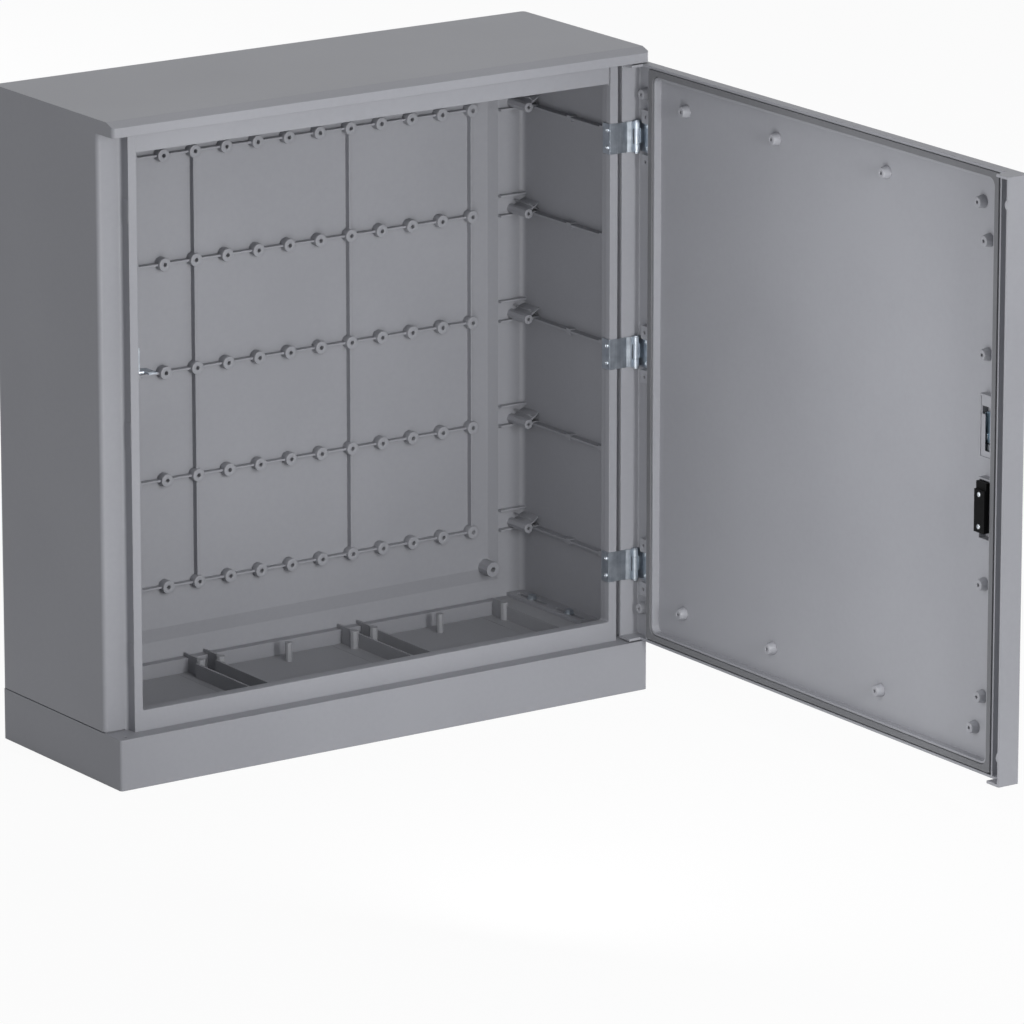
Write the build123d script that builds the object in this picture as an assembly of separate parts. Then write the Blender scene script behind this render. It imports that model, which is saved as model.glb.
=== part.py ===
from build123d import *
from math import sqrt, sin, cos, pi, radians
import os

os.makedirs("parts", exist_ok=True)

# Overall size. The origin lies under the middle of the plinth, the door side faces -Y.
width = 850
depth = 300
height = 900

# Body moulding
side_wall = 5
back_wall = 5.5
front_wall = 4.5
roof_wall = 6
corner_radius = 6
inner_corner_radius = 8
roof_overhang = 40
roof_edge_height = 19
roof_slope_run = 17
roof_slope_drop = 6
overhang_wall = 4

# Collar round the door opening
shoulder_width = 36.3
collar_depth = 17.5
collar_root_radius = 5
rim_width = 12.7
top_rail_height = 29
top_rail_recess = 3
bottom_rail_height = 28
rail_wall = 5
reveal_front_depth = 9.5
reveal_step = 2
opening_corner_radius = 3
pad_height = 32
pad_thickness = 0.6

# Back wall field with its boss grid
field_raise = 4.5
field_slope = 20
field_side_margin = 67
field_foot = 47
boss_columns = 14
boss_rows = 5
boss_side_in = 100
boss_first_up = 106
boss_top_down = 76
boss_diameter = 18
boss_hole = 6
boss_height = 13
boss_hole_depth = 11
boss_sides = 8
hole_sides = 6
screw_sides = 6
head_sides = 8
post_sides = 8
row_rib_thickness = 3
row_rib_height = 9
column_rib_every = 4
corner_boss_diameter = 22
corner_boss_hole = 8
corner_boss_reach = 26.5
corner_boss_in = 73
corner_boss_up = 50

# Side wall brackets, one at each boss row
bracket_boss_diameter = 14
bracket_boss_hole = 5
bracket_in = 25
bracket_reach = 43.5
bracket_web = 3
bracket_rib_up = 20
bracket_rib_down = 8
shelf_rib_width = 10
shelf_rib_thickness = 3
shelf_rib_from_front = 88
shelf_node_from_back = 130
shelf_node_length = 9

# Foot of the body
shadow_gap = 1.5
shadow_depth = 2
foot_flange_width = 28
foot_flange_thickness = 5
foot_flange_from_front = 113
slot_width = 7
slot_length = 70
slot_from_wall = 17
slot_back_in = 53
slot_spacing = 91
plinth_bolt_diameter = 6
plinth_bolt_head = 10
plinth_bolt_head_height = 4
plinth_bolt_length = 22
plinth_washer_diameter = 14
plinth_washer_thickness = 1.6
bolt_clearance = 0.3

# Plinth
plinth_height = 70
plinth_wall = 5
plinth_corner_radius = 4
plinth_top_thickness = 5
foot_thickness = 5
foot_width = 50
anchor_pitch_x = 700
anchor_pitch_y = 240
anchor_hole = 13
drain_hole = 5
drain_in = 14
drain_from_front = 11
well_side_in = 35
well_front_in = 46
well_back_in = 18
well_wall = 3
ledge_width = 12
ledge_thickness = 4

# Floor pieces that lie on the ledge of the plinth
floor_drop = 20
floor_thickness = 4
floor_gap = 0.6
end_rail_width = 50
clamp_strip_width = 70
peg_diameter = 10
peg_height = 27
peg_back_in = 50
post_diameter = 12
post_height = 25
post_spacing = 32
post_back_in = 48
web_thickness = 3
fin_offset_in = 9
fin_offset_out = 23
end_rail_step = 21
end_rail_wall = 3
end_post_back_in = 45

# Door
door_gap = 2
door_setback = 3.5
door_skin = 4
flange_thickness = 3
flange_gap = 3
door_edge_radius = 3
flange_root_hinge = 1.5
flange_root_free = 8
end_wall_thickness = 3.5
end_wall_step_in = 25
rib_thickness = 3
rib_clearance = 2.5
outer_rib_in = 38.5
inner_rib_in = 51
inner_rib_top = 14
inner_rib_bottom = 16
inner_rib_corner_radius = 12
door_boss_top = 13.5
door_boss_base = 18
door_boss_hole = 5
door_boss_hole_depth = 8
row_boss_top_down = 51
row_boss_bottom_up = 56
row_boss_hinge_in = 112
row_boss_free_in = 88
row_boss_mid_hinge = 108
row_boss_mid_free = 133
free_boss_in = 73
channel_boss_in = 20
channel_boss_top_down = 43
channel_boss_bottom_up = 43
hinge_pad_width = 17
hinge_pad_length = 19
hinge_pad_spacing = 62
hinge_pad_in = 31
lug_width = 13
lug_gap = 0.3
lug_top_down = 36
lug_bottom_up = 40
gasket_side_gap = 0.7
gasket_floor_gap = 0.2
gasket_leaf_gap = 0.5

# Hinges
hinge_edge = 9
stop_gap = 0.5
hinge_bottom_up = 104
hinge_top_down = 103
leaf_height = 42
leaf_thickness = 1.5
leaf_reach = 27
joggle_length = 6
leg_depth = 15.5
pin_diameter = 5
pin_clearance = 0.05
knuckle_gap = 0.25
knuckle_sides = 12
door_knuckle_height = 20
pin_head_thickness = 1.5
pin_head_gap = 0.3
door_leaf_reach = 21
screw_diameter = 3
screw_head = 6.5
screw_head_height = 1.6
screw_length = 9
door_screw_length = 3
screw_clearance = 0.1
screw_spacing = 24

# Lock
lock_up = 455
pocket_width = 20.5
pocket_wall = 2.5
lock_pocket_below = 30
lock_pocket_above = 50
cover_pocket_below = 139
cover_pocket_height = 78
case_thickness = 1.2
case_wall = 1.4
spindle_diameter = 9.9
spindle_clearance = 0.05
spindle_square = 7
crank_thickness = 1.5
crank_pin_diameter = 3
crank_head_diameter = 9
crank_clearance = 0.35
layer_gap = 0.3
bolt_width = 15
bolt_thickness = 2.5
bolt_stroke = 7
bolt_above = 29
bolt_tail = 12
tongue_thickness = 2
tongue_gap = 1.2
tongue_width = 13
strike_leg_height = 34
handle_base_width = 34
handle_base_height = 120
handle_base_thickness = 4
handle_hub_diameter = 22
handle_hub_height = 10
handle_arm_length = 90
handle_arm_width = 14
handle_arm_thickness = 7
cover_foot_gap = 10
cover_height = 67
cover_wall = 2
cover_proud = 9
cover_step_height = 10
cover_step_drop = 3
cover_reveal_gap = 2.5
cover_screw_up = 8
cover_screw_spacing = 43

# Planes and edges that follow from the sizes above
half = width / 2
front_y = -depth / 2
back_y = depth / 2
inner_x = half - side_wall
inner_back_y = back_y - back_wall
shoulder_y = front_y + roof_overhang
rim_y = shoulder_y - collar_depth
collar_back_y = shoulder_y + front_wall
collar_x = half - shoulder_width
opening_x = collar_x - rim_width
body_z = plinth_height
eaves_z = height - roof_edge_height
ceiling_z = height - roof_wall
opening_z0 = plinth_height + bottom_rail_height
opening_z1 = eaves_z - top_rail_height
mid_z = (body_z + eaves_z) / 2
floor_z = plinth_height - floor_drop
reveal_y = rim_y + reveal_front_depth
door_z0 = plinth_height + door_gap
door_z1 = eaves_z - door_gap
door_y0 = front_y + door_setback
skin_y = door_y0 + door_skin
flange_tip_y = shoulder_y - flange_gap
rib_tip_y = rim_y - leaf_thickness - rib_clearance
hinge_x = half - hinge_edge
hinge_y = rim_y + stop_gap - (hinge_edge - flange_thickness)
hinge_line = Axis((hinge_x, hinge_y, 0), (0, 0, 1))
open_angle = 90
hinge_heights = (
    door_z0 + hinge_bottom_up,
    (door_z0 + hinge_bottom_up + door_z1 - hinge_top_down) / 2,
    door_z1 - hinge_top_down,
)
boss_first_z = plinth_height + boss_first_up
boss_span_x = width - 2 * boss_side_in
boss_span_z = opening_z1 - boss_top_down - boss_first_z
boss_pitch_x = boss_span_x / (boss_columns - 1)
boss_pitch_z = boss_span_z / (boss_rows - 1)
corner_boss_z = plinth_height + corner_boss_up
shelf_rib_end_y = front_y + shelf_rib_from_front
shelf_node_y = back_y - shelf_node_from_back
foot_flange_front_y = front_y + foot_flange_from_front
slot_centre_back_y = back_y - slot_back_in
slot_centre_front_y = slot_centre_back_y - slot_spacing
well_half_width = half - well_side_in
well_front_y = front_y + well_front_in
well_back_y = back_y - well_back_in
plate_width = (2 * well_half_width - 2 * end_rail_width - 2 * clamp_strip_width) / 3
plate_pitch = plate_width + clamp_strip_width
peg_y = back_y - peg_back_in
post_y = back_y - post_back_in
end_post_y = back_y - end_post_back_in
lock_z = door_z0 + lock_up
lock_pocket_bottom = lock_z - lock_pocket_below
lock_pocket_top = lock_z + lock_pocket_above
cover_pocket_bottom = lock_z - cover_pocket_below
cover_pocket_top = cover_pocket_bottom + cover_pocket_height
bolt_top = lock_z + bolt_above
cover_bottom = cover_pocket_bottom + cover_foot_gap
cover_top = cover_bottom + cover_height
cover_screw_low = cover_bottom + cover_screw_up
cover_screw_high = cover_screw_low + cover_screw_spacing
boss_mid_z = boss_first_z + boss_span_z / 2
row_heights = [boss_first_z + boss_pitch_z * row for row in range(boss_rows)]
field_y = inner_back_y - field_raise
boss_face_y = field_y - boss_height
screw_hole_r = screw_diameter / 2 / cos(pi / screw_sides) + screw_clearance


def block(x, y, z):
    middle = Pos((x[0] + x[1]) / 2, (y[0] + y[1]) / 2, (z[0] + z[1]) / 2)
    return middle * Box(abs(x[1] - x[0]), abs(y[1] - y[0]), z[1] - z[0])


def facing_front(y):
    return Plane(origin=(0, y, 0), x_dir=(1, 0, 0), z_dir=(0, -1, 0))


def flat(z):
    return Plane.XY.offset(z)


def frame_sketch(half_x, z0, z1, radius):
    plate = Pos(0, (z0 + z1) / 2) * RectangleRounded(2 * half_x, z1 - z0, radius)
    return plate


def round_face(radius, sides):
    # Small repeated rounds are drawn with few flats, a true circle where sides is 0
    if sides:
        return RegularPolygon(radius, sides)
    return Circle(radius)


def across(x, y, z, radius, length, sides=0):
    # A round bar along +X from x, centred on y and z
    start = Plane(origin=(x, y, z), x_dir=(0, 1, 0), z_dir=(1, 0, 0))
    return extrude(start * round_face(radius, sides), length)


def forward(x, y, z, radius, length, sides=0):
    # A round bar from y towards the front
    start = Plane(origin=(x, y, z), x_dir=(1, 0, 0), z_dir=(0, -1, 0))
    return extrude(start * round_face(radius, sides), length)


def upright(x, y, z, radius, length, sides=0):
    start = Plane(origin=(x, y, z), x_dir=(1, 0, 0), z_dir=(0, 0, 1))
    return extrude(start * round_face(radius, sides), length)


def swing(piece):
    # The door and all that it carries are made closed and stand open at rest
    return piece.rotate(hinge_line, open_angle)


def save(piece, name):
    export_step(piece, "parts/" + name + ".step")


# Body: the plan of the walls, shoulder and collar, drawn once and raised to the eaves
plan_points = [
    (-half, back_y),
    (half, back_y),
    (half, shoulder_y),
    (collar_x, shoulder_y),
    (collar_x, rim_y),
    (-collar_x, rim_y),
    (-collar_x, shoulder_y),
    (-half, shoulder_y),
]
plan = make_face(Polyline(plan_points, close=True))
wall_corners = [v for v in plan.vertices() if abs(abs(v.X) - half) < 0.01]
plan = fillet(wall_corners, corner_radius)
collar_roots = [v for v in plan.vertices() if abs(v.Y - shoulder_y) < 0.01 and abs(abs(v.X) - collar_x) < 0.01]
plan = fillet(collar_roots, collar_root_radius)
body = extrude(flat(body_z) * plan, eaves_z - body_z)

# Roof: one side profile with the sloped front edge, drawn across the width
roof_points = [
    (back_y, eaves_z),
    (back_y, height),
    (front_y + roof_slope_run, height),
    (front_y, height - roof_slope_drop),
    (front_y, eaves_z),
]
side_plane = Plane(origin=(-half, 0, 0), x_dir=(0, 1, 0), z_dir=(1, 0, 0))
roof = extrude(side_plane * make_face(Polyline(roof_points, close=True)), width)
roof = fillet(roof.edges().filter_by(Axis.Z), corner_radius)
body += roof

# Hollow inside, open below, with the pockets of the overhang and of the two rails
hollow_y = (collar_back_y + inner_back_y) / 2
hollow = Pos(0, hollow_y) * Rectangle(2 * inner_x, inner_back_y - collar_back_y)
back_corners = hollow.vertices().filter_by(lambda v: v.Y > 0)
hollow = fillet(back_corners, inner_corner_radius)
body -= extrude(flat(body_z) * hollow, ceiling_z - body_z)
overhang_back = (front_y + side_wall, collar_back_y + 1)
body -= block((-inner_x, inner_x), overhang_back, (eaves_z + overhang_wall, ceiling_z))
pocket_x = (-(opening_x - rail_wall), opening_x - rail_wall)
top_pocket_y = (rim_y + top_rail_recess + rail_wall, collar_back_y + 1)
body -= block(pocket_x, top_pocket_y, (opening_z1 + rail_wall, eaves_z + overhang_wall + 1))
bottom_pocket_y = (rim_y + rail_wall, collar_back_y + 1)
body -= block(pocket_x, bottom_pocket_y, (body_z + rail_wall, opening_z0 - rail_wall))

# Door opening in two steps, and the top rail set back between the side rims
opening_plate = frame_sketch(opening_x, opening_z0, opening_z1, opening_corner_radius)
body -= extrude(facing_front(collar_back_y + 1) * opening_plate, collar_depth + front_wall + 2)
rear_plate = frame_sketch(
    opening_x + reveal_step,
    opening_z0 - reveal_step,
    opening_z1 + reveal_step,
    opening_corner_radius + reveal_step,
)
body -= extrude(facing_front(collar_back_y + 1) * rear_plate, collar_back_y + 1 - reveal_y)
body -= block((-opening_x, opening_x), (rim_y - 1, rim_y + top_rail_recess), (opening_z1 - 6, eaves_z))
for side in (-1, 1):
    line_x = (side * opening_x - 0.6, side * opening_x + 0.6)
    line_y = (rim_y - 1, rim_y + top_rail_recess + 1)
    body -= block(line_x, line_y, (opening_z1, eaves_z - 0.5))

# Shadow line over the plinth
for side in (-1, 1):
    outside = (side * half, side * (half - shadow_depth))
    body -= block(outside, (shoulder_y - 1, back_y), (body_z, body_z + shadow_gap))
    shoulder = (side * half, side * (collar_x + collar_root_radius))
    body -= block(shoulder, (shoulder_y - 1, shoulder_y + shadow_depth), (body_z, body_z + shadow_gap))
body -= block((-half, half), (back_y - shadow_depth, back_y), (body_z, body_z + shadow_gap))

# Raised field of the back wall, a shallow loft, with ribs and the grid of bosses
field_x = half - field_side_margin
field_z0 = plinth_height + field_foot
field_top = ceiling_z - 1
wide = Pos(0, (field_z0 - field_slope + field_top) / 2) * Rectangle(
    2 * (field_x + field_slope), field_top - field_z0 + field_slope
)
narrow = Pos(0, (field_z0 + field_top) / 2) * Rectangle(2 * field_x, field_top - field_z0)
back_field = loft([facing_front(inner_back_y) * wide, facing_front(field_y) * narrow], ruled=True)
inside = [back_field]
body -= Pos(0, back_wall, 0) * back_field
grid_plane = Plane(origin=(0, field_y + 1, boss_mid_z), x_dir=(1, 0, 0), z_dir=(0, -1, 0))
grid = GridLocations(boss_pitch_x, boss_pitch_z, boss_columns, boss_rows)
bosses = extrude(grid_plane * (Sketch() + grid * round_face(boss_diameter / 2, boss_sides)), boss_height + 1)
row_rib = Rectangle(boss_span_x, row_rib_thickness)
row_ribs = extrude(grid_plane * (Sketch() + GridLocations(0, boss_pitch_z, 1, boss_rows) * row_rib), row_rib_height + 1)
column_pitch = boss_pitch_x * column_rib_every
column_xs = [boss_pitch_x * (i + 0.5) for i in (2, boss_columns / 2 - 1)]
inside.append(bosses)
inside.append(row_ribs)
for column_x in column_xs:
    for side in (-1, 1):
        rib_x = (side * column_x - row_rib_thickness / 2, side * column_x + row_rib_thickness / 2)
        rib_z = (row_heights[0], row_heights[-1])
        inside.append(block(rib_x, (field_y + 1, field_y - row_rib_height), rib_z))

# Two large bosses at the foot of the back wall
corner_boss_x = half - corner_boss_in
for side in (-1, 1):
    seat_r = corner_boss_diameter / 2
    seat = forward(side * corner_boss_x, inner_back_y + 1, corner_boss_z, seat_r, corner_boss_reach + 1, 10)
    inside.append(seat)

# Brackets on the side walls with their webs and long shelf ribs
bracket_x = half - bracket_in
bracket_y = inner_back_y - bracket_reach
shelf_x = inner_x - shelf_rib_width
for side in (-1, 1):
    for row_z in row_heights:
        tube_r = bracket_boss_diameter / 2
        inside.append(forward(side * bracket_x, inner_back_y + 1, row_z, tube_r, bracket_reach + 1, boss_sides))
        web_x = (side * bracket_x, side * (inner_x + 1))
        web_z = (row_z - bracket_web / 2, row_z + bracket_web / 2)
        inside.append(block(web_x, (bracket_y + 4, inner_back_y + 1), web_z))
        for rise in (bracket_rib_up, -bracket_rib_down):
            strip_x = (side * (field_x + field_slope), side * (inner_x + 1))
            strip_z = (row_z + rise - bracket_web / 2, row_z + rise + bracket_web / 2)
            inside.append(block(strip_x, (inner_back_y - 8, inner_back_y + 1), strip_z))
        shelf_z = (row_z - shelf_rib_thickness, row_z)
        inside.append(block((side * shelf_x, side * (inner_x + 1)), (shelf_rib_end_y, bracket_y + 6), shelf_z))
        for node_y in (shelf_node_y, shelf_rib_end_y + shelf_node_length / 2):
            node = (node_y - shelf_node_length / 2, node_y + shelf_node_length / 2)
            inside.append(block((side * shelf_x, side * (inner_x + 1)), node, (row_z - 2 * shelf_rib_thickness, row_z + 2)))

# Foot flange inside the side walls, which the plinth bolts hold down
flange_in_x = inner_x - foot_flange_width
flange_z = (body_z, body_z + foot_flange_thickness)
for side in (-1, 1):
    inside.append(block((side * flange_in_x, side * (inner_x + 1)), (foot_flange_front_y, inner_back_y + 1), flange_z))
body += inside

# Holes of the bosses and slots of the foot flange
hole_plane = Plane(origin=(0, boss_face_y + boss_hole_depth, boss_mid_z), x_dir=(1, 0, 0), z_dir=(0, -1, 0))
plate_holes = GridLocations(boss_span_x, boss_span_z, 2, 2)
corner_holes = plate_holes * Circle(boss_hole / 2)
corner_spots = [(loc.position.X, loc.position.Y) for loc in plate_holes]
other_holes = [
    loc * round_face(boss_hole / 2, hole_sides)
    for loc in grid
    if (loc.position.X, loc.position.Y) not in corner_spots
]
holes = [extrude(hole_plane * (Sketch() + corner_holes + other_holes), boss_hole_depth + 1)]
slot_x = inner_x - slot_from_wall
for side in (-1, 1):
    corner_face_y = inner_back_y - corner_boss_reach
    holes.append(forward(side * corner_boss_x, corner_face_y + 20, corner_boss_z, corner_boss_hole / 2, 21, hole_sides))
    for row_z in row_heights:
        holes.append(forward(side * bracket_x, bracket_y + 20, row_z, bracket_boss_hole / 2, 21, hole_sides))
    for slot_y in (slot_centre_back_y, slot_centre_front_y):
        slot = Pos(side * slot_x, slot_y) * Rot(0, 0, 90) * SlotOverall(slot_length, slot_width)
        holes.append(extrude(flat(body_z - 1) * slot, foot_flange_thickness + 2))

# Screw holes of the hinge leaves and of the strike plate in the collar
reveal_screw_y = rim_y + reveal_front_depth / 2
for hinge_z in hinge_heights:
    for rise in (-screw_spacing / 2, screw_spacing / 2):
        holes.append(across(opening_x - 1, reveal_screw_y, hinge_z + rise, screw_hole_r, screw_length + 1, screw_sides))
strike_z0 = bolt_top + tongue_gap
strike_screw_heights = (strike_z0 + strike_leg_height / 3, strike_z0 + strike_leg_height - 6)
for screw_z in strike_screw_heights:
    holes.append(across(-opening_x - screw_length, reveal_screw_y, screw_z, screw_hole_r, screw_length + 1, screw_sides))
body -= holes

# Faint raised pads on the free side of the collar, level with the hinges
pads = []
for hinge_z in hinge_heights:
    pad_x = (-collar_x - pad_thickness, -collar_x + 1)
    pad_y = (rim_y + 1, shoulder_y - collar_root_radius - 1)
    pads.append(block(pad_x, pad_y, (hinge_z - pad_height / 2, hinge_z + pad_height / 2)))
body += pads
save(body, "body_shell")

# Plinth: four walls, a top flange, an inward foot and the sunk well for the floor
plinth = extrude(RectangleRounded(width, depth, plinth_corner_radius), plinth_height)
cavity_x = half - plinth_wall
cavity_y = back_y - plinth_wall
cavity_z = (foot_thickness, plinth_height - plinth_top_thickness)
plinth -= block((-cavity_x, cavity_x), (-cavity_y, cavity_y), cavity_z)
floor_bottom = floor_z - floor_thickness
well_box_x = well_half_width + well_wall
well_box_y = (well_front_y - well_wall, well_back_y + well_wall)
plinth += block((-well_box_x, well_box_x), well_box_y, (floor_bottom - ledge_thickness, cavity_z[1] + 1))
plinth -= block((-well_half_width, well_half_width), (well_front_y, well_back_y), (floor_bottom, plinth_height))
ledge_x = well_half_width - ledge_width
ledge_y = (well_front_y + ledge_width, well_back_y - ledge_width)
plinth -= block((-ledge_x, ledge_x), ledge_y, (floor_bottom - ledge_thickness, floor_bottom))
foot_x = half - plinth_wall - foot_width
foot_y = back_y - plinth_wall - foot_width
plinth -= block((-foot_x, foot_x), (-foot_y, foot_y), (0, foot_thickness))
anchors = Sketch() + GridLocations(anchor_pitch_x, anchor_pitch_y, 2, 2) * Circle(anchor_hole / 2)
plinth -= extrude(anchors, foot_thickness)
plinth_holes = []
bolt_hole_r = plinth_bolt_diameter / 2 / cos(pi / post_sides) + bolt_clearance
for side in (-1, 1):
    drain_y = front_y + drain_from_front
    plinth_holes.append(upright(side * (half - drain_in), drain_y, cavity_z[1] - 1, drain_hole / 2, plinth_top_thickness + 2, 8))
    for slot_y in (slot_centre_back_y, slot_centre_front_y):
        plinth_holes.append(upright(side * slot_x, slot_y, cavity_z[1] - 1, bolt_hole_r, plinth_top_thickness + 2, post_sides))
plinth -= plinth_holes
save(plinth, "plinth")

# Bolts, washers and nuts that hold the body down on the plinth
bolts = []
washers = []
nuts = []
flange_top = body_z + foot_flange_thickness
for side in (-1, 1):
    for slot_y in (slot_centre_back_y, slot_centre_front_y):
        spot = Pos(side * slot_x, slot_y, flange_top)
        head_z = plinth_washer_thickness
        head = extrude(RegularPolygon(plinth_bolt_head / 2, 6, major_radius=False), plinth_bolt_head_height)
        shank = extrude(round_face(plinth_bolt_diameter / 2, post_sides), -plinth_bolt_length)
        bolts.append(spot * Pos(0, 0, head_z) * (head + shank))
        ring = round_face(plinth_washer_diameter / 2, 12) - round_face(bolt_hole_r, post_sides)
        washers.append(spot * extrude(ring, plinth_washer_thickness))
        nut_z = -foot_flange_thickness - plinth_top_thickness - plinth_bolt_head_height
        nut = RegularPolygon(plinth_bolt_head / 2, 6, major_radius=False) - round_face(plinth_bolt_diameter / 2 / cos(pi / post_sides), post_sides)
        nuts.append(spot * Pos(0, 0, nut_z) * extrude(nut, plinth_bolt_head_height))
save(Compound(children=bolts), "plinth_bolts")
save(Compound(children=washers), "plinth_washers")
save(Compound(children=nuts), "plinth_nuts")

# Floor plates with a peg each
floor_y = (well_front_y + floor_gap / 2, well_back_y - floor_gap / 2)
for name, x in (("left", -plate_pitch), ("middle", 0), ("right", plate_pitch)):
    plate_x = (x - plate_width / 2 + floor_gap / 2, x + plate_width / 2 - floor_gap / 2)
    plate = block(plate_x, floor_y, (floor_bottom, floor_z))
    plate += upright(x, peg_y, floor_z - 1, peg_diameter / 2, peg_height + 1, post_sides)
    save(plate, "floor_plate_" + name)

# Cable clamp strips between the plates: posts with webs to the back and long fins to the front
post_top = floor_z + post_height
web_points = [
    (post_y, floor_z - 1),
    (floor_y[1], floor_z - 1),
    (floor_y[1], plinth_height + 0.5),
    (inner_back_y - 1, plinth_height + 0.5),
    (inner_back_y - 1, post_top),
    (post_y, post_top),
]
web_face = make_face(Polyline(web_points, close=True))
for name, side in (("left", -1), ("right", 1)):
    strip_c = side * plate_pitch / 2
    strip_half = (plate_pitch - plate_width) / 2 - floor_gap / 2
    strip = block((strip_c - strip_half, strip_c + strip_half), floor_y, (floor_bottom, floor_z))
    posts = []
    for offset in (-post_spacing / 2, post_spacing / 2):
        post_x = strip_c + offset
        posts.append(upright(post_x, post_y, floor_z - 1, post_diameter / 2, post_height + 1, post_sides))
        web_plane = Plane(origin=(post_x - web_thickness / 2, 0, 0), x_dir=(0, 1, 0), z_dir=(1, 0, 0))
        posts.append(extrude(web_plane * web_face, web_thickness))
    for offset in (-fin_offset_in, fin_offset_out):
        fin_x = strip_c + side * offset
        fin_xs = (fin_x - web_thickness / 2, fin_x + web_thickness / 2)
        posts.append(block(fin_xs, (floor_y[0], post_y), (floor_z - 1, plinth_height)))
    strip += posts
    save(strip, "clamp_strip_" + name)

# End rails: the floor steps up to the level of the plinth along both side walls
rail_x0 = plate_pitch + plate_width / 2 + floor_gap / 2
rail_x1 = rail_x0 + end_rail_step
rail_x2 = well_half_width - floor_gap / 2
rail_points = [
    (rail_x0, floor_bottom),
    (rail_x0, floor_z),
    (rail_x1, floor_z),
    (rail_x1, plinth_height),
    (rail_x2, plinth_height),
    (rail_x2, floor_bottom),
    (rail_x2 - end_rail_wall, floor_bottom),
    (rail_x2 - end_rail_wall, plinth_height - end_rail_wall),
    (rail_x1 + end_rail_wall, plinth_height - end_rail_wall),
    (rail_x1 + end_rail_wall, floor_bottom),
]
rail_plane = facing_front(floor_y[1])
rail = extrude(rail_plane * make_face(Polyline(rail_points, close=True)), floor_y[1] - floor_y[0])
rail += upright(rail_x1, end_post_y, floor_z - 1, post_diameter / 2, post_height + 1, post_sides)
web_x = (rail_x1 - web_thickness / 2, rail_x1 + web_thickness / 2)
rail += block(web_x, (end_post_y, floor_y[1]), (floor_z, post_top))
save(rail, "end_rail_right")
save(mirror(rail, about=Plane.YZ), "end_rail_left")

# Door: the plan of skin and side flanges, drawn once and raised to the door's height
door_plan_points = [
    (-half, flange_tip_y),
    (-half, door_y0),
    (half, door_y0),
    (half, flange_tip_y),
    (half - flange_thickness, flange_tip_y),
    (half - flange_thickness, skin_y),
    (-half + flange_thickness, skin_y),
    (-half + flange_thickness, flange_tip_y),
]
door_plan = make_face(Polyline(door_plan_points, close=True))
outer_corners = [v for v in door_plan.vertices() if abs(v.Y - door_y0) < 0.01]
door_plan = fillet(outer_corners, door_edge_radius)
free_root = [v for v in door_plan.vertices() if abs(v.Y - skin_y) < 0.01 and v.X < 0]
door_plan = fillet(free_root, flange_root_free)
hinge_root = [v for v in door_plan.vertices() if abs(v.Y - skin_y) < 0.01 and v.X > 0]
door_plan = fillet(hinge_root, flange_root_hinge)
door = extrude(flat(door_z0) * door_plan, door_z1 - door_z0)

# End walls, low across the opening and deep at the two corners
door_pieces = []
step_x = half - end_wall_step_in
for z0, z1 in ((door_z0, door_z0 + end_wall_thickness), (door_z1 - end_wall_thickness, door_z1)):
    door_pieces.append(block((-step_x, step_x), (skin_y - 1, rib_tip_y), (z0, z1)))
    for side in (-1, 1):
        end_x = (side * step_x, side * (half - 1))
        door_pieces.append(block(end_x, (skin_y - 1, flange_tip_y), (z0, z1)))

# Ribs that hold the gasket: two upright ribs and an inner ring
outer_rib_x = half - outer_rib_in
inner_rib_x = half - inner_rib_in
for side in (-1, 1):
    rib_x = (side * outer_rib_x - rib_thickness / 2, side * outer_rib_x + rib_thickness / 2)
    door_pieces.append(block(rib_x, (skin_y - 1, rib_tip_y), (door_z0 + 1, door_z1 - 1)))
ring_z0 = door_z0 + inner_rib_bottom
ring_z1 = door_z1 - inner_rib_top
rib_half = rib_thickness / 2
ring_out = frame_sketch(inner_rib_x + rib_half, ring_z0 - rib_half, ring_z1 + rib_half, inner_rib_corner_radius)
ring_in = frame_sketch(
    inner_rib_x - rib_half, ring_z0 + rib_half, ring_z1 - rib_half, inner_rib_corner_radius - rib_thickness
)
ring_height = rib_tip_y - skin_y
door_pieces.append(extrude(facing_front(rib_tip_y) * (ring_out - ring_in), ring_height + 1))

# Screw bosses of the door, drafted
boss_places = []
row_boss_xs = (half - row_boss_hinge_in, row_boss_mid_hinge, -row_boss_mid_free, -half + row_boss_free_in)
for boss_x in row_boss_xs:
    boss_places.append((boss_x, door_z1 - row_boss_top_down))
    boss_places.append((boss_x, door_z0 + row_boss_bottom_up))
free_boss_x = -half + free_boss_in
for boss_z in (row_heights[0] - 3, row_heights[1] - 2, row_heights[3] + 4, row_heights[4] + 4):
    boss_places.append((free_boss_x, boss_z))
channel_boss_x = half - channel_boss_in
boss_places.append((channel_boss_x, door_z1 - channel_boss_top_down))
boss_places.append((channel_boss_x, door_z0 + channel_boss_bottom_up))
boss_rise = rib_tip_y - skin_y
door_holes = []
for boss_x, boss_z in boss_places:
    foot = Plane(origin=(boss_x, skin_y, boss_z), x_dir=(1, 0, 0), z_dir=(0, 1, 0))
    base = foot * round_face(door_boss_base / 2, boss_sides)
    tip = foot.offset(boss_rise) * round_face(door_boss_top / 2, boss_sides)
    door_pieces.append(loft([base, tip], ruled=True))
    hole_r = door_boss_hole / 2
    door_holes.append(forward(boss_x, rib_tip_y + 1, boss_z, hole_r, door_boss_hole_depth + 1, hole_sides))

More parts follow.
